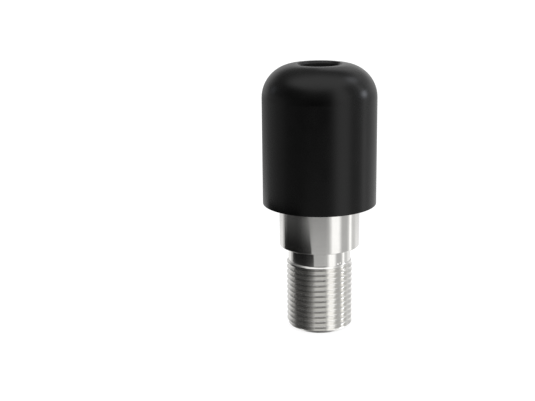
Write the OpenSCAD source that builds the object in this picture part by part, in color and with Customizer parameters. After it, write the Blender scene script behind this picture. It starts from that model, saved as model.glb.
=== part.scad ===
// Bar end slider: a domed plastic puck, held by one socket screw to a metal
// insert that screws into the open end of a handlebar.
// Sizes are in millimetres. The part stands on the insert's threaded end, with
// the origin at the middle of that end and +Z towards the nose of the puck.

/* [Puck] */
// Outside diameter of the puck
puck_d = 31; // [27:0.5:40]
// Length of the puck, from the collar to the nose
puck_len = 38.1; // [30:0.1:60]
// Radius of the rounded nose
nose_round = 9; // [3:0.5:9.5]
// Bevel round the back edge of the puck
back_bevel = 0.4; // [0.1:0.1:1]
// Bevel round the mouth of the screw well
mouth_bevel = 0.3; // [0.1:0.1:1]
// How far the top of the screw head lies below the nose
head_sink = 11; // [8:0.5:16]

/* [Collar and neck] */
// Diameter of the collar, the same as the handlebar's
collar_d = 22; // [20:0.5:26]
// Length of the collar
collar_len = 11.7; // [6:0.1:20]
// Bevel on both edges of the collar
collar_bevel = 0.2; // [0.1:0.1:0.8]
// How far the plain neck lies below the crest of the thread
neck_step = 0.4; // [0.1:0.1:1.5]
// Length of the plain neck
neck_len = 3.8; // [2:0.1:8]

/* [Handlebar thread] */
// Diameter over the crests of the thread
thread_d = 18; // [16:0.5:20]
// Length of the threaded end
thread_len = 19.5; // [12:0.5:30]
// Bevel round the end of the thread
end_bevel = 1; // [0.6:0.1:1.5]
// Length of the taper from the crest of the thread down to the neck
neck_taper = 0.7; // [0.3:0.1:2]

/* [Screw] */
// Diameter of the screw's thread
screw_d = 6; // [5:0.5:7]
// Length of the screw that the insert holds
screw_bite = 13.9; // [8:0.1:20]
// Bevel at the tip of the screw
tip_bevel = 0.8; // [0.2:0.1:1.2]
// Diameter of the head
head_d = 10; // [9:0.5:12]
// Height of the head
head_len = 6; // [4:0.5:8]
// Radius round the top of the head
head_round = 0.8; // [0.2:0.1:1]
// Width across the flats of the hexagon socket
socket_af = 5; // [4:0.5:6]
// Depth of the flats of the socket
socket_depth = 3; // [2:0.5:3.5]

/* [Clearances] */
// Gap all round between the head and its well
well_gap = 0.5; // [0.2:0.1:1]
// Gap all round between the screw and the hole in the puck
hole_gap = 0.3; // [0.1:0.1:0.8]
// Gap all round between the screw's thread and its tapped hole
tap_gap = 0.04; // [0.01:0.01:0.1]
// Spare depth of the tapped hole past the screw's tip
tap_spare = 3; // [1:0.5:5]

/* [Hidden] */
// Half the included angle of a drill's point
DRILL_HALF_ANGLE = 59;
// Bevel at the mouths of the tapped hole and the hexagon socket
LEAD_IN = 0.4;
// How far a cut runs past the face that it opens
PAST = 1;
$fn = 96;

collar_z = thread_len + neck_len;
puck_z = collar_z + collar_len;
nose_z = puck_z + puck_len;
head_z = nose_z - head_sink - head_len;
screw_tip_z = puck_z - screw_bite;
tap_floor_z = screw_tip_z - tap_spare;
neck_r = thread_d / 2 - neck_step;
well_r = head_d / 2 + well_gap;
hole_r = screw_d / 2 + hole_gap;
tap_r = screw_d / 2 + tap_gap;
nose_r = min(nose_round, puck_d / 2 - well_r - mouth_bevel);

// Half section of a round bar with a rounded top edge
module bar_section(radius, height, top_round) {
    square([radius, height - top_round]);
    square([radius - top_round, height]);
    translate([radius - top_round, height - top_round])
        intersection() {
            circle(r = top_round);
            square(top_round);
        }
}

// A hole down from z = 0, with a drill's point at its floor
module drilled_hole(radius, depth) {
    point = radius / tan(DRILL_HALF_ANGLE);
    translate([0, 0, -depth]) cylinder(r = radius, h = depth + PAST);
    translate([0, 0, -depth - point]) cylinder(r1 = 0, r2 = radius, h = point);
}

// A bevel at the mouth of a hole whose edge lies at z = 0
module mouth_cut(radius, bevel) {
    translate([0, 0, -bevel])
        cylinder(r1 = radius, r2 = radius + bevel + PAST, h = bevel + PAST);
}

module slider_puck() {
    color([0.09, 0.09, 0.09])
        translate([0, 0, puck_z])
            difference() {
                rotate_extrude()
                    difference() {
                        bar_section(puck_d / 2, puck_len, nose_r);
                        translate([puck_d / 2, 0]) rotate(45) square(back_bevel * sqrt(2), center = true);
                    }
                translate([0, 0, -PAST]) cylinder(r = hole_r, h = puck_len);
                translate([0, 0, head_z - puck_z]) cylinder(r = well_r, h = puck_len);
                translate([0, 0, puck_len]) mouth_cut(well_r, mouth_bevel);
            }
}

module threaded_insert() {
    collar_r = collar_d / 2;
    crest_r = thread_d / 2;
    color([0.78, 0.78, 0.76])
        difference() {
            rotate_extrude()
                polygon([
                    [0, 0],
                    [crest_r - end_bevel, 0],
                    [crest_r, end_bevel],
                    [crest_r, thread_len - neck_taper],
                    [neck_r, thread_len],
                    [neck_r, collar_z],
                    [collar_r - collar_bevel, collar_z],
                    [collar_r, collar_z + collar_bevel],
                    [collar_r, puck_z - collar_bevel],
                    [collar_r - collar_bevel, puck_z],
                    [0, puck_z]
                ]);
            translate([0, 0, puck_z]) drilled_hole(tap_r, puck_z - tap_floor_z);
            translate([0, 0, puck_z]) mouth_cut(tap_r, LEAD_IN);
        }
}

module cap_screw() {
    socket_r = socket_af / 2 / cos(30);
    point = socket_r / tan(DRILL_HALF_ANGLE);
    color([0.62, 0.62, 0.64])
        difference() {
            union() {
                translate([0, 0, head_z]) rotate_extrude() bar_section(head_d / 2, head_len, head_round);
                translate([0, 0, screw_tip_z + tip_bevel])
                    cylinder(d = screw_d, h = head_z - screw_tip_z - tip_bevel);
                translate([0, 0, screw_tip_z])
                    cylinder(d1 = screw_d - 2 * tip_bevel, d2 = screw_d, h = tip_bevel);
            }
            translate([0, 0, head_z + head_len]) {
                translate([0, 0, -socket_depth]) cylinder(r = socket_r, h = socket_depth + PAST, $fn = 6);
                translate([0, 0, -socket_depth - point]) cylinder(r1 = 0, r2 = socket_af / 2, h = point);
                mouth_cut(socket_af / 2, LEAD_IN);
            }
        }
}

slider_puck();
threaded_insert();
cap_screw();
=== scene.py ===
"""Bar end slider: the finished look of the puck, the threaded insert and the cap screw.

All sizes are in metres. Z is the common axis of the pieces, and the part stands at z = 0.
"""
import math

import bmesh
import bpy
import numpy as np
from mathutils import Matrix, Vector


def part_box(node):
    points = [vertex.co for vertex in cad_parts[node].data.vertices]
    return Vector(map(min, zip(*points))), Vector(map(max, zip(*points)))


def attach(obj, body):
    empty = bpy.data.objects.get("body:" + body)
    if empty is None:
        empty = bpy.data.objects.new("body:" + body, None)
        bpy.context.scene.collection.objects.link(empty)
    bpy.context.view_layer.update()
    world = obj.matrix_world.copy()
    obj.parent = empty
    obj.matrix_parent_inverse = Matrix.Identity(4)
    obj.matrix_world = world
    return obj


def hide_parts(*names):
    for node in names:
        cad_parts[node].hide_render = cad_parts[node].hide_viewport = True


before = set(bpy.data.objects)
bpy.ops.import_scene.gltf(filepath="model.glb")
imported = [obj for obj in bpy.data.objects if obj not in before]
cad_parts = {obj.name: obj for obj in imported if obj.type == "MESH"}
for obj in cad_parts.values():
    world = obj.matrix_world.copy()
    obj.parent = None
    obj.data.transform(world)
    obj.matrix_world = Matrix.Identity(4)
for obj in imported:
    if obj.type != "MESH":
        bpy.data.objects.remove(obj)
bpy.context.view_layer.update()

MM = 0.001

# The puck, with the sizes that the box of its solid doesn't give
NOSE_ROUND = 9 * MM
BACK_ROUND = 0.2 * MM
WELL_R = 5.5 * MM
WELL_ROUND = 0.2 * MM
MOUTH_BEVEL = 0.6 * MM
MOUTH_ROUND = 0.3 * MM
HOLE_R = 3.3 * MM
HOLE_ROUND = 0.1 * MM
HEAD_SINK = 11 * MM

# The threaded insert
THREAD_R = 9 * MM
THREAD_LEN = 19.5 * MM
THREAD_PITCH = 1.5 * MM
# Where the groove comes out of the metal, and the share of a turn over which it draws out
THREAD_END_ANGLE = math.radians(-39)
THREAD_END_Z = 19.6 * MM
THREAD_DRAW = 0.02
END_BEVEL = 1 * MM
# Where the taper from the crests down to the neck starts
TAPER_Z = 18.6 * MM
TAPER_LEN = 0.55 * MM
NECK_R = 8.6 * MM
NECK_ROUND = 0.3 * MM
COLLAR_LEN = 11.7 * MM
COLLAR_ROUND = 0.2 * MM
TAP_R = 3.04 * MM
TAP_LEAD = 0.4 * MM
TAP_ROUND = 0.05 * MM
TAP_SPARE = 3 * MM

# The cap screw
SCREW_R = 3 * MM
SCREW_PITCH = 1 * MM
SCREW_BITE = 13.9 * MM
SCREW_THREAD_LEN = 24 * MM
SCREW_DRAW = 0.3
TIP_BEVEL = 0.8 * MM
SHANK_ROUND = 0.2 * MM
HEAD_LEN = 6 * MM
HEAD_ROUND = 0.8 * MM
SOCKET_AF = 5 * MM
SOCKET_DEPTH = 3 * MM
SOCKET_LEAD = 0.42 * MM
SOCKET_STEP = 0.02 * MM
# The edge under the head is cut back at the seat, and less so a little above it
SEAT_CUT = 0.3 * MM
SEAT_EASE = 0.12 * MM
SEAT_EASE_Z = 0.1 * MM
# The knurl starts and is fully cut at these heights over the seat, and ends this far below the round
KNURL_LOW = 0.4 * MM
KNURL_FULL = 0.7 * MM
KNURL_TOP = 0.6 * MM
KNURL_DEPTH = 0.12 * MM
KNURL_TEETH = 60
# Shares of the knurl's depth at its low end and at the start of the round
KNURL_LOW_SHARE = 0.2
KNURL_ROUND_SHARE = 0.4

# Proportions that are the same for every metric thread and every drill
FLANK_ANGLE = math.radians(30)
FLANK_SLOPE = math.tan(FLANK_ANGLE)
GROOVE_SHARE = 5 / 8 * math.cos(FLANK_ANGLE)
ROOT_SHARE = 1 / 4
POINT_SLOPE = math.tan(math.radians(59))

# The cutter eases out over part of the last turn, and dips once more as it stops
EASED = 0.9
EASE_TURNS = 0.8
DIP = 0.6
DIP_TURNS = 0.06

# How far the rows that hold a straight wall flat lie from the arc at its end
HOLD = 0.03 * MM
# How far a plain row lies from the rows of a thread
ROW_GAP = 0.1 * MM
# The longest stretch of a straight wall between two rows
WALL_STEP = 2 * MM
# Turns that a thread's rows run on at either end, where they are clamped
SPARE_TURNS = 2
# Points closer than this are one point, and edges that bend by more than this angle look sharp
SAME_PLACE = 1e-8
SHARP_ANGLE = math.radians(38)


def rounded(corners, steps=5):
    """Points along a section whose corners (r, z, radius) are each rounded by an arc.

    A point close to either end of an arc keeps the straight stretch beside it flat in shading.
    """
    points = []
    for i, (r, z, radius) in enumerate(corners):
        here = Vector((r, z))
        if radius <= 0 or i in (0, len(corners) - 1):
            points.append((r, z))
            continue
        before = (Vector(corners[i - 1][:2]) - here).normalized()
        after = (Vector(corners[i + 1][:2]) - here).normalized()
        half = before.angle(after) / 2
        reach = radius / math.tan(half)
        centre = here + (before + after).normalized() * (radius / math.sin(half))
        start = (here + before * reach - centre).normalized()
        end = (here + after * reach - centre).normalized()
        points.append(tuple(here + before * (reach + HOLD)))
        for k in range(steps + 1):
            points.append(tuple(centre + start.slerp(end, k / steps) * radius))
        points.append(tuple(here + after * (reach + HOLD)))
    return points


def divided(points):
    """The same section with no straight stretch much longer than WALL_STEP."""
    cut = []
    for a, b in zip(points, points[1:]):
        count = max(1, int(math.dist(a, b) / WALL_STEP))
        cut += [tuple(np.array(a) + (np.array(b) - np.array(a)) * k / count) for k in range(count)]
    return cut + [points[-1]]


def lathe(name, rows, columns, seam=None):
    """One closed mesh from rows (r, z), each a number or an array with a value for each column.

    seam is (first row, last row, column, rows in a turn). Rows that follow a helix lie a pitch
    apart on the two sides of that column, so each is joined there to the row of the next turn.
    """
    first, last, seam_column, turn_rows = seam or (0, 0, None, 0)
    angles = np.arange(columns) * math.tau / columns
    verts = []
    faces = []
    rings = []
    for r, z in rows:
        r = np.broadcast_to(r, columns)
        z = np.broadcast_to(z, columns)
        if r.max() <= 0:
            rings.append([len(verts)] * columns)
            verts.append((0, 0, z[0]))
            continue
        rings.append(list(range(len(verts), len(verts) + columns)))
        verts.extend(zip(r * np.cos(angles), r * np.sin(angles), z))
    for row in range(len(rings) - 1):
        for j in range(columns):
            k = (j + 1) % columns
            next_row = row
            next_above = row + 1
            if j == seam_column and first <= row < last:
                next_row = min(row + turn_rows, last)
                next_above = min(row + 1 + turn_rows, last)
            corners = [rings[row][j], rings[next_row][k], rings[next_above][k], rings[row + 1][j]]
            faces.append([v for i, v in enumerate(corners) if v != corners[i - 1]])
    mesh = bpy.data.meshes.new(name)
    mesh.from_pydata(verts, [], faces)
    weld(mesh)
    mesh.shade_smooth()
    mesh.set_sharp_from_angle(angle=SHARP_ANGLE)
    piece = bpy.data.objects.new(name, mesh)
    bpy.context.scene.collection.objects.link(piece)
    return piece


def weld(mesh):
    """Joins the points that a thread's clamped rows leave on top of each other."""
    shape = bmesh.new()
    shape.from_mesh(mesh)
    bmesh.ops.remove_doubles(shape, verts=shape.verts, dist=SAME_PLACE)
    bmesh.ops.recalc_face_normals(shape, faces=shape.faces)
    shape.to_mesh(mesh)
    shape.free()


def thread_rows(columns, radius, pitch, low, high, envelope, profile, runout):
    """Rows of a right-handed thread between two heights, cut into a plain envelope.

    The rows follow the helix, so the edges of the groove lie on them. Past either
    height they are clamped. runout is (angle, height, turns): where the groove
    leaves the metal, and the share of a turn over which it draws out.
    """
    angles = np.arange(columns) * math.tau / columns
    depth = pitch * GROOVE_SHARE
    root_r = radius - depth
    round_r = pitch * ROOT_SHARE / 2 / math.cos(FLANK_ANGLE)
    start_angle, start_z, turns = runout
    turn = np.mod(start_angle - angles, math.tau) / math.tau
    turns_down = int(math.ceil((start_z - low) / pitch)) + SPARE_TURNS
    rows = []
    for k in range(turns_down, -SPARE_TURNS - 1, -1):
        along = turn + k
        drawn = EASED * np.clip(1 - along / EASE_TURNS, 0, None)
        drawn = drawn + np.clip(1 - along / turns, 0, None)
        drawn = drawn - DIP * np.sin(math.pi * np.clip(along / DIP_TURNS, 0, 1)) ** 2
        for u in profile:
            z = start_z - along * pitch + u * pitch
            groove = root_r + (abs(u) - ROOT_SHARE / 2) * pitch / FLANK_SLOPE
            if abs(u) < ROOT_SHARE / 2:
                groove = root_r + round_r / 2 - math.sqrt(round_r ** 2 - (u * pitch) ** 2)
            groove = np.where(along < 0, radius * 2, groove + drawn * depth)
            z = np.clip(z, low, high)
            rows.append((np.minimum(envelope(z), groove), z))
    return rows


def helix_seam(columns, angle, first, rows, profile):
    """The seam of a thread's rows for lathe(), just past the angle at which turns are counted."""
    column = int(math.floor(angle % math.tau / math.tau * columns))
    return first, first + len(rows) - 1, column, len(profile)


def groove_profile(steps, along_crest=0.4):
    """Heights over one pitch, from crest to crest, with a row on each edge of the groove."""
    root = ROOT_SHARE / 2
    crest = root + GROOVE_SHARE * FLANK_SLOPE
    half = [root * k / steps for k in range(steps)]
    half += [root + (crest - root) * k / steps for k in range(steps + 1)]
    half += [crest + (0.5 - crest) * along_crest]
    return sorted({-u for u in half} | set(half))


def finish_piece(piece, node, material):
    piece.data.materials.append(material)
    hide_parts(node)
    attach(piece, "root")


# The pieces

def make_puck():
    low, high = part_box("slider_puck")
    radius = high.x
    web_z = high.z - HEAD_SINK - HEAD_LEN
    section = rounded([
        (HOLE_R, low.z, 0),
        (radius, low.z, BACK_ROUND),
        (radius, high.z, NOSE_ROUND),
        (WELL_R + MOUTH_BEVEL, high.z, MOUTH_ROUND),
        (WELL_R, high.z - MOUTH_BEVEL, WELL_ROUND),
        (WELL_R, web_z, WELL_ROUND),
        (HOLE_R, web_z, HOLE_ROUND),
        (HOLE_R, low.z, 0),
    ], steps=16)
    return lathe("puck", divided(section), columns=192)


def make_insert():
    low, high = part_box("threaded_insert")
    collar_r = high.x
    collar_z = high.z - COLLAR_LEN
    thread_top = THREAD_LEN + THREAD_PITCH
    end_r = THREAD_R - END_BEVEL

    def envelope(z):
        bevel = end_r + z
        neck = THREAD_R + (TAPER_Z - z) * (THREAD_R - NECK_R) / TAPER_LEN
        neck = np.maximum(neck, NECK_R)
        return np.minimum(np.minimum(np.full_like(z, THREAD_R), bevel), neck)

    columns = 256
    runout = (THREAD_END_ANGLE, THREAD_END_Z, THREAD_DRAW)
    bottom = [(0, low.z), (end_r / 2, low.z), (end_r - ROW_GAP, low.z)]
    profile = groove_profile(4)
    thread = thread_rows(columns, THREAD_R, THREAD_PITCH, low.z, thread_top,
                         envelope, profile, runout)
    seam = helix_seam(columns, THREAD_END_ANGLE, len(bottom), thread, profile)
    upper = rounded([
        (NECK_R, thread_top + ROW_GAP, 0),
        (NECK_R, collar_z, NECK_ROUND),
        (collar_r, collar_z, COLLAR_ROUND),
        (collar_r, high.z, COLLAR_ROUND),
        (TAP_R + TAP_LEAD, high.z, TAP_ROUND),
        (TAP_R, high.z - TAP_LEAD, 0),
    ])
    floor_z = high.z - SCREW_BITE - TAP_SPARE
    tap = [(TAP_R, floor_z), (0, floor_z - TAP_R / POINT_SLOPE)]
    return lathe("insert", bottom + thread + upper + tap, columns, seam)


def make_screw():
    low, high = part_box("cap_screw")
    head_r = high.x
    head_z = high.z - HEAD_LEN
    thread_top = low.z + SCREW_THREAD_LEN
    tip_r = SCREW_R - TIP_BEVEL

    def envelope(z):
        return np.minimum(SCREW_R, tip_r + (z - low.z))

    columns = 240
    angles = np.arange(columns) * math.tau / columns
    tip = [(0, low.z), (tip_r - ROW_GAP / 2, low.z)]
    profile = groove_profile(2)
    runout = (0, thread_top - SCREW_PITCH, SCREW_DRAW)
    thread = thread_rows(columns, SCREW_R, SCREW_PITCH, low.z, thread_top,
                         envelope, profile, runout)
    seam = helix_seam(columns, runout[0], len(tip), thread, profile)
    plain = rounded([
        (SCREW_R, thread_top + ROW_GAP, 0),
        (SCREW_R, head_z, SHANK_ROUND),
        (head_r - SEAT_CUT, head_z, 0),
    ])
    cut = KNURL_DEPTH * (0.5 - 0.5 * np.cos(angles * KNURL_TEETH))
    round_z = high.z - HEAD_ROUND
    side = [
        (head_r - SEAT_EASE, head_z + SEAT_EASE_Z),
        (head_r - cut * KNURL_LOW_SHARE, head_z + KNURL_LOW),
        (head_r - cut, head_z + KNURL_FULL),
        (head_r - cut, round_z - KNURL_TOP),
    ]
    top = []
    steps = 8
    fade_steps = 3
    for k in range(steps + 1):
        bend = math.pi / 2 * k / steps
        r = head_r - HEAD_ROUND + HEAD_ROUND * math.cos(bend)
        faded = cut * max(0, 1 - k / fade_steps) * KNURL_ROUND_SHARE
        top.append((r - faded, round_z + HEAD_ROUND * math.sin(bend)))
    sixth = math.pi / 3
    hexagon = SOCKET_AF / 2 / np.cos(np.mod(angles, sixth) - sixth / 2)
    mouth_r = SOCKET_AF / 2 + SOCKET_LEAD
    floor_z = high.z - SOCKET_DEPTH
    socket = [
        (mouth_r + HOLD, high.z),
        (mouth_r, high.z),
        (hexagon, high.z - (mouth_r - hexagon)),
        (hexagon, floor_z),
        (SOCKET_AF / 2 - SOCKET_STEP, floor_z),
        (0, floor_z - SOCKET_AF / 2 / POINT_SLOPE),
    ]
    return lathe("screw", tip + thread + plain + side + top + socket, columns, seam)


# Shader nodes

# Places of the factor, the two colours and the result on a Mix node of the RGBA type
MIX_FACTOR = 0
MIX_A = 6
MIX_B = 7
MIX_RESULT = 2


def feed(tree, socket, value):
    """Links an output to the socket, or gives the socket a constant."""
    if isinstance(value, bpy.types.NodeSocket):
        tree.links.new(value, socket)
    else:
        socket.default_value = value


def math_node(tree, operation, a, b):
    made = tree.nodes.new("ShaderNodeMath")
    made.operation = operation
    feed(tree, made.inputs[0], a)
    feed(tree, made.inputs[1], b)
    return made.outputs[0]


def in_degrees(tree, operation, a, b=0):
    """The angle that an inverse trigonometric operation gives, in degrees."""
    return math_node(tree, "MULTIPLY", math_node(tree, operation, a, b), math.degrees(1))


def mix_node(tree, factor, a, b, blend="MIX"):
    made = tree.nodes.new("ShaderNodeMix")
    made.data_type = "RGBA"
    made.blend_type = blend
    feed(tree, made.inputs[MIX_FACTOR], factor)
    feed(tree, made.inputs[MIX_A], a)
    feed(tree, made.inputs[MIX_B], b)
    return made.outputs[MIX_RESULT]


def ramp(tree, value, stops, span):
    """A grey that follows a value over span (low, high), from stops (value, brightness)."""
    low, high = span
    spread = tree.nodes.new("ShaderNodeMapRange")
    spread.inputs["From Min"].default_value = low
    spread.inputs["From Max"].default_value = high
    tree.links.new(value, spread.inputs["Value"])
    made = tree.nodes.new("ShaderNodeValToRGB")
    tree.links.new(spread.outputs["Result"], made.inputs["Fac"])
    line = made.color_ramp.elements
    for i, (at, brightness) in enumerate(stops):
        place = (at - low) / (high - low)
        stop = line[i] if i < 2 else line.new(place)
        stop.position = place
        stop.color = (brightness, brightness, brightness, 1)
    return made.outputs["Color"]


# The materials

class Shader:
    """A new material with short calls to add and link its nodes."""

    def __init__(self, name):
        self.material = bpy.data.materials.new(name)
        self.material.use_nodes = True
        self.tree = self.material.node_tree
        self.shader = self.tree.nodes["Principled BSDF"]

    def node(self, kind, inputs=None, **settings):
        made = self.tree.nodes.new(kind)
        for key, value in settings.items():
            setattr(made, key, value)
        for key, value in (inputs or {}).items():
            feed(self.tree, made.inputs[key], value)
        return made

    def to(self, socket, value):
        feed(self.tree, self.shader.inputs[socket], value)

    def place(self, stretch):
        """The point in the object's own frame, stretched along each axis."""
        point = self.node("ShaderNodeTexCoord").outputs["Object"]
        inputs = {0: point, 1: stretch}
        return self.node("ShaderNodeVectorMath", inputs, operation="MULTIPLY").outputs[0]

    def noise(self, scale, detail=4, stretch=(1, 1, 1)):
        inputs = {"Vector": self.place(stretch), "Scale": scale, "Detail": detail}
        return self.node("ShaderNodeTexNoise", inputs).outputs["Fac"]

    def spread(self, value, low, high, from_low=0.3, from_high=0.7):
        inputs = {"Value": value, "From Min": from_low, "From Max": from_high,
                  "To Min": low, "To Max": high}
        return self.node("ShaderNodeMapRange", inputs).outputs["Result"]

    def tint(self, value, dark, light):
        return mix_node(self.tree, value, (*dark, 1), (*light, 1))

    def bump(self, height, strength, distance, after=None):
        inputs = {"Height": height, "Strength": strength, "Distance": distance}
        if after:
            inputs["Normal"] = after
        return self.node("ShaderNodeBump", inputs).outputs["Normal"]


# The drilled well of the puck is duller than the turned outside, and its paler colour is painted
# light on its wall
WELL_EDGE = 0.05 * MM
WELL_PAINTED_LIGHT_COLOUR = (0.012, 0.012, 0.0115, 1)
WELL_DULLER = 0.2


def black_acetal():
    """Turned black plastic with fine grain and faint rings from the tool. Its well is duller, and
    its colour there is painted paler as painted light.
    """
    s = Shader("black_acetal")
    cloud = s.noise(260, detail=3)
    grain = s.noise(5200, detail=2)
    rings = s.noise(900, detail=2, stretch=(0.02, 0.02, 3))
    across = s.place((1, 1, 0))
    reach = s.node("ShaderNodeVectorMath", {0: across}, operation="LENGTH").outputs["Value"]
    drilled_and_painted_light = s.spread(reach, 1, 0, WELL_R, WELL_R + WELL_EDGE)
    turned = s.tint(s.spread(cloud, 0, 1), (0.0010, 0.0011, 0.0010), (0.0016, 0.0016, 0.0015))
    # Inside the well the base colour is painted paler, as painted light on its wall; the same mask
    # makes the well duller
    s.to("Base Color", mix_node(s.tree, drilled_and_painted_light, turned, WELL_PAINTED_LIGHT_COLOUR))
    duller = math_node(s.tree, "MULTIPLY", drilled_and_painted_light, WELL_DULLER)
    s.to("Roughness", math_node(s.tree, "ADD", s.spread(cloud, 0.24, 0.28), duller))
    s.to("IOR", 1.41)
    fine = s.bump(grain, strength=0.05, distance=0.05 * MM)
    s.to("Normal", s.bump(rings, strength=0.04, distance=0.05 * MM, after=fine))
    return s.material


def turned_aluminium():
    """Bright turned metal, whose fine marks run round the axis."""
    s = Shader("turned_aluminium")
    marks = s.noise(1500, detail=3, stretch=(0.03, 0.03, 4))
    cloud = s.noise(300, detail=3)
    s.to("Base Color", s.tint(s.spread(cloud, 0, 1), (0.905, 0.895, 0.868), (0.945, 0.935, 0.908)))
    s.to("Metallic", 1)
    s.to("Roughness", s.spread(marks, 0.11, 0.16))
    s.to("Anisotropic", 0.6)
    s.to("Anisotropic Rotation", 0.25)
    tangent = s.node("ShaderNodeTangent", direction_type="RADIAL", axis="Z")
    s.to("Tangent", tangent.outputs["Tangent"])
    s.to("Normal", s.bump(marks, strength=0.05, distance=0.02 * MM))
    return s.material


def bright_steel():
    """Plain bright steel with small changes of tone and shine."""
    s = Shader("bright_steel")
    cloud = s.noise(700, detail=4)
    s.to("Base Color", s.tint(s.spread(cloud, 0, 1), (0.56, 0.56, 0.57), (0.68, 0.68, 0.68)))
    s.to("Metallic", 1)
    s.to("Roughness", s.spread(cloud, 0.22, 0.34))
    s.to("Normal", s.bump(s.noise(6000, detail=2), strength=0.04, distance=0.02 * MM))
    return s.material


# The camera and the stage

# The width of the photograph, and the distance of its plane from the eye, both in its pixels
IMAGE_WIDTH = 535
FOCAL_PIXELS = 1101.5
SENSOR_MM = 36
CAMERA_PLACE = (0, -292.48 * MM, 111.53 * MM)
CAMERA_DOWN = math.radians(14.547)
CAMERA_LEFT = math.radians(2.787)
CAMERA_ROLL = math.radians(-0.698)


def make_camera():
    """The camera of the photograph, which looks down a little and to the left of the part."""
    forward = Vector((-math.sin(CAMERA_LEFT) * math.cos(CAMERA_DOWN),
                      math.cos(CAMERA_LEFT) * math.cos(CAMERA_DOWN),
                      -math.sin(CAMERA_DOWN)))
    level = Vector((math.cos(CAMERA_LEFT), math.sin(CAMERA_LEFT), 0))
    upright = level.cross(forward)
    right = math.cos(CAMERA_ROLL) * level + math.sin(CAMERA_ROLL) * upright
    up = -math.sin(CAMERA_ROLL) * level + math.cos(CAMERA_ROLL) * upright
    lens = bpy.data.cameras.new("camera")
    lens.sensor_width = SENSOR_MM
    lens.lens = FOCAL_PIXELS / IMAGE_WIDTH * SENSOR_MM
    lens.clip_start = 10 * MM
    camera = bpy.data.objects.new("camera", lens)
    turn = Matrix((right, up, -forward)).transposed().to_4x4()
    camera.matrix_world = Matrix.Translation(CAMERA_PLACE) @ turn
    bpy.context.scene.collection.objects.link(camera)
    bpy.context.scene.camera = camera


# The stretches, in degrees, over which a ramp follows the azimuth and the height of a direction
AROUND = (-180, 180)
UP_DOWN = (-90, 90)
# Studio walls seen in gloss: (from, to, brightness), by azimuth from the camera's side of the part
WALLS = [
    (-180, -134, 0.9),
    (-124, -100, 0.38),
    (-92, -80, 0.32),
    (-68, -36, 0.19),
    (-18, 19, 0.28),
    (24, 26, 0.38),
    (30, 32, 0.62),
    (38, 57, 1.08),
    (68, 86, 0.45),
    (91, 93, 0.60),
    (97, 102, 1.15),
    (108, 120, 0.60),
    (130, 150, 0.80),
    (165, 180, 0.95),
]
# Brightness by height, in degrees above the level, all round the part
GROUND = [(-75, 0.08), (-62, 0.2), (-50, 0.9), (-45, 1), (-15, 1), (-11, 0.87), (0, 0.87), (12, 1)]
# The same for each side of the studio, with the share that it has at each azimuth
STRAIGHT_BACK = [(-9, 1), (-2, 0.9), (15, 0.85), (30, 0.65), (42, 1)]
STRAIGHT_BACK_SHARE = [(-180, 1), (-176, 1), (-166, 0), (164, 0), (175, 1), (180, 1)]
FRONT = [(-42, 2), (-18.2, 2), (-17, 1.35), (-16.4, 1.1), (-15.5, 1), (-14.5, 0.8), (-12.5, 0.25),
         (-9.8, 0.13), (0, 0.14), (13, 0.28), (30, 0.7), (47, 1.8), (60, 3)]
FRONT_SHARE = [(-70, 0), (-20, 1), (20, 1), (27, 0)]
LEFT_BACK = [(-16, 1), (-13.5, 0.42), (-8, 0.42), (0, 0.75), (15, 0.75), (24, 0.55), (33, 0.2)]
LEFT_BACK_SHARE = [(-135, 1), (-120, 0)]
RIGHT_BACK = [(-60, 1.3), (-19, 1.3), (-16.5, 1), (-13, 0.75), (-4, 0.75), (4, 0.95), (12, 0.9),
              (22, 0.65), (28, 0.65), (35, 0.85), (46, 0.6)]
RIGHT_BACK_SHARE = [(120, 0), (135, 1)]
LEFT = [(5, 1), (12, 0.45)]
LEFT_SHARE = [(-150, 0), (-120, 1), (-60, 1), (-30, 0)]
SIDES = [
    (STRAIGHT_BACK, STRAIGHT_BACK_SHARE),
    (FRONT, FRONT_SHARE),
    (LEFT_BACK, LEFT_BACK_SHARE),
    (RIGHT_BACK, RIGHT_BACK_SHARE),
    (LEFT, LEFT_SHARE),
]
# Brightness of the ceiling, from the front over the top to the back
CEILING = [(20, 0.3), (60, 1.15), (75, 1.2), (92, 1.05), (105, 0.6), (122, 0.22), (155, 0.3)]
# The share that the ceiling has by height
CEILING_SHARE = [(38, 0), (54, 1)]
# Round lamps seen in gloss: azimuth, height, half width in degrees, colour
LAMPS = [
    (102, 10, 9, (3.6, 3.8, 4.2)),
    (112, 47, 12, (1.3, 1.35, 1.45)),
    (-112, 16, 9, (0.45, 0.48, 0.55)),
]
WHITE = (1, 1, 1, 1)


def add_lamp(tree, direction, studio, lamp):
    """The studio with one round lamp added, which fades from its middle to its rim."""
    azimuth, height, half_width, colour = lamp
    azimuth = math.radians(azimuth)
    height = math.radians(height)
    near = tree.nodes.new("ShaderNodeVectorMath")
    near.operation = "DOT_PRODUCT"
    tree.links.new(direction, near.inputs[0])
    near.inputs[1].default_value = (math.sin(azimuth) * math.cos(height),
                                    -math.cos(azimuth) * math.cos(height),
                                    math.sin(height))
    spot = tree.nodes.new("ShaderNodeMapRange")
    spot.interpolation_type = "SMOOTHSTEP"
    spot.inputs["From Min"].default_value = math.cos(math.radians(half_width))
    spot.inputs["From Max"].default_value = 1
    tree.links.new(near.outputs["Value"], spot.inputs["Value"])
    return mix_node(tree, spot.outputs["Result"], studio, (*colour, 1), "ADD")


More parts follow.
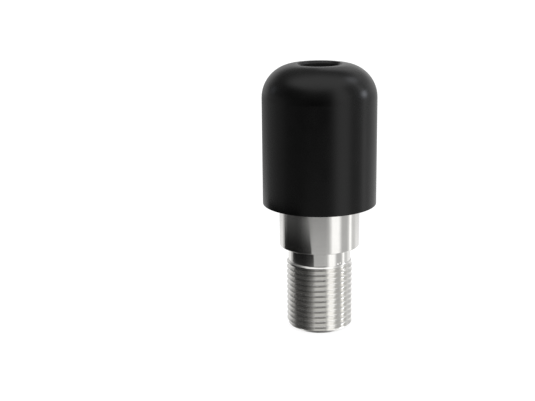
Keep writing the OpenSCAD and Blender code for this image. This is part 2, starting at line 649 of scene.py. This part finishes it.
def make_world():
    """Plain white to the eye and to diffuse light; a studio with softboxes in reflections."""
    world = bpy.data.worlds.new("studio")
    world.use_nodes = True
    bpy.context.scene.world = world
    tree = world.node_tree
    tree.nodes.clear()

    direction = tree.nodes.new("ShaderNodeTexCoord").outputs["Generated"]
    split = tree.nodes.new("ShaderNodeSeparateXYZ")
    tree.links.new(direction, split.inputs[0])
    x, y, z = split.outputs
    front = math_node(tree, "MULTIPLY", y, -1)
    azimuth = in_degrees(tree, "ARCTAN2", x, front)
    height = in_degrees(tree, "ARCSINE", z)
    over = in_degrees(tree, "ARCTAN2", z, front)

    walls = []
    for start, end, brightness in WALLS:
        walls += [(start, brightness), (end, brightness)]
    studio = ramp(tree, azimuth, walls, AROUND)
    studio = mix_node(tree, 1, studio, ramp(tree, height, GROUND, UP_DOWN), "MULTIPLY")
    for side, shares in SIDES:
        share = ramp(tree, azimuth, shares, AROUND)
        studio = mix_node(tree, share, studio, ramp(tree, height, side, UP_DOWN), "MULTIPLY")
    overhead = ramp(tree, height, CEILING_SHARE, UP_DOWN)
    studio = mix_node(tree, overhead, studio, ramp(tree, over, CEILING, AROUND))
    for lamp in LAMPS:
        studio = add_lamp(tree, direction, studio, lamp)

    ray = tree.nodes.new("ShaderNodeLightPath")
    light = mix_node(tree, ray.outputs["Is Glossy Ray"], WHITE, studio)
    light = mix_node(tree, ray.outputs["Is Camera Ray"], light, WHITE)
    background = tree.nodes.new("ShaderNodeBackground")
    tree.links.new(light, background.inputs["Color"])
    background.inputs["Strength"].default_value = 1
    output = tree.nodes.new("ShaderNodeOutputWorld")
    tree.links.new(background.outputs[0], output.inputs["Surface"])


def stage_mesh(name, verts, faces):
    """A mesh that belongs to the stage, with an empty node tree to fill. Gives both."""
    mesh = bpy.data.meshes.new(name)
    mesh.from_pydata(verts, [], faces)
    made = bpy.data.objects.new(name, mesh)
    bpy.context.scene.collection.objects.link(made)
    material = bpy.data.materials.new(name)
    material.use_nodes = True
    material.node_tree.nodes.clear()
    mesh.materials.append(material)
    return made, material.node_tree


# The floor: half its width, how far it lies under the part, its glow and its colour
FLOOR_HALF = 4.0
FLOOR_DROP = 0.02 * MM
FLOOR_GLOW = 0.82
FLOOR_COLOUR = (0.3, 0.3, 0.3, 1)


def make_floor():
    """A pale floor that stays white to the camera and keeps a faint shadow."""
    corners = [(-1, -1), (1, -1), (1, 1), (-1, 1)]
    verts = [(x * FLOOR_HALF, y * FLOOR_HALF, 0) for x, y in corners]
    floor, tree = stage_mesh("floor", verts, [(0, 1, 2, 3)])
    floor.location.z = -FLOOR_DROP
    glow = tree.nodes.new("ShaderNodeEmission")
    glow.inputs["Strength"].default_value = FLOOR_GLOW
    diffuse = tree.nodes.new("ShaderNodeBsdfDiffuse")
    diffuse.inputs["Color"].default_value = FLOOR_COLOUR
    both = tree.nodes.new("ShaderNodeAddShader")
    output = tree.nodes.new("ShaderNodeOutputMaterial")
    tree.links.new(glow.outputs[0], both.inputs[0])
    tree.links.new(diffuse.outputs[0], both.inputs[1])
    tree.links.new(both.outputs[0], output.inputs["Surface"])
    floor.visible_glossy = False
    floor.visible_diffuse = False


# The dark card: its distance, its left edge, and its right edge as (height in mm, azimuth)
FLAG_R = 34 * MM
FLAG_LEFT = -103
FLAG_RIGHT = [(-25, -15), (0, -15), (17, -19), (28, -29), (31, -32)]
FLAG_STEPS = 48
# Its shades by azimuth in degrees, and the strength of their glow by height in mm over a stretch
FLAG_SHADES = [(-101, 0.035), (-98, 0.035), (-96.5, 0.1), (-95, 0.03), (-86, 0.018), (-57, 0.014),
               (-46, 0.02), (-33, 0.045), (-26, 0.07), (-15, 0.14)]
FLAG_RISE = [(-20, 4.5), (-3, 3), (8, 3), (11.5, 0.42), (18, 0.4), (25.5, 3), (27, 3), (28.5, 0.3)]
FLAG_HEIGHTS = (-30, 40)


def make_flag():
    """A dark card beside the metal, seen only in its reflections. Its right edge leans."""
    verts = []
    for height, right in FLAG_RIGHT:
        for k in range(FLAG_STEPS + 1):
            angle = math.radians(FLAG_LEFT + (right - FLAG_LEFT) * k / FLAG_STEPS)
            verts.append((FLAG_R * math.sin(angle), -FLAG_R * math.cos(angle), height * MM))
    faces = []
    across = FLAG_STEPS + 1
    for row in range(len(FLAG_RIGHT) - 1):
        for k in range(FLAG_STEPS):
            a = row * across + k
            faces.append((a, a + 1, a + across + 1, a + across))
    flag, tree = stage_mesh("flag", verts, faces)
    place = tree.nodes.new("ShaderNodeTexCoord")
    split = tree.nodes.new("ShaderNodeSeparateXYZ")
    tree.links.new(place.outputs["Object"], split.inputs[0])
    x, y, z = split.outputs
    azimuth = in_degrees(tree, "ARCTAN2", x, math_node(tree, "MULTIPLY", y, -1))
    shade = ramp(tree, azimuth, FLAG_SHADES, AROUND)
    rise = ramp(tree, math_node(tree, "MULTIPLY", z, 1 / MM), FLAG_RISE, FLAG_HEIGHTS)
    glow = tree.nodes.new("ShaderNodeEmission")
    tree.links.new(shade, glow.inputs["Color"])
    tree.links.new(rise, glow.inputs["Strength"])
    output = tree.nodes.new("ShaderNodeOutputMaterial")
    tree.links.new(glow.outputs[0], output.inputs["Surface"])
    flag.visible_camera = False
    flag.visible_diffuse = False
    flag.visible_shadow = False
    flag.visible_transmission = False


make_camera()
finish_piece(make_puck(), "slider_puck", black_acetal())
finish_piece(make_insert(), "threaded_insert", turned_aluminium())
finish_piece(make_screw(), "cap_screw", bright_steel())
make_world()
make_floor()
make_flag()

bpy.context.scene.view_settings.view_transform = "Standard"
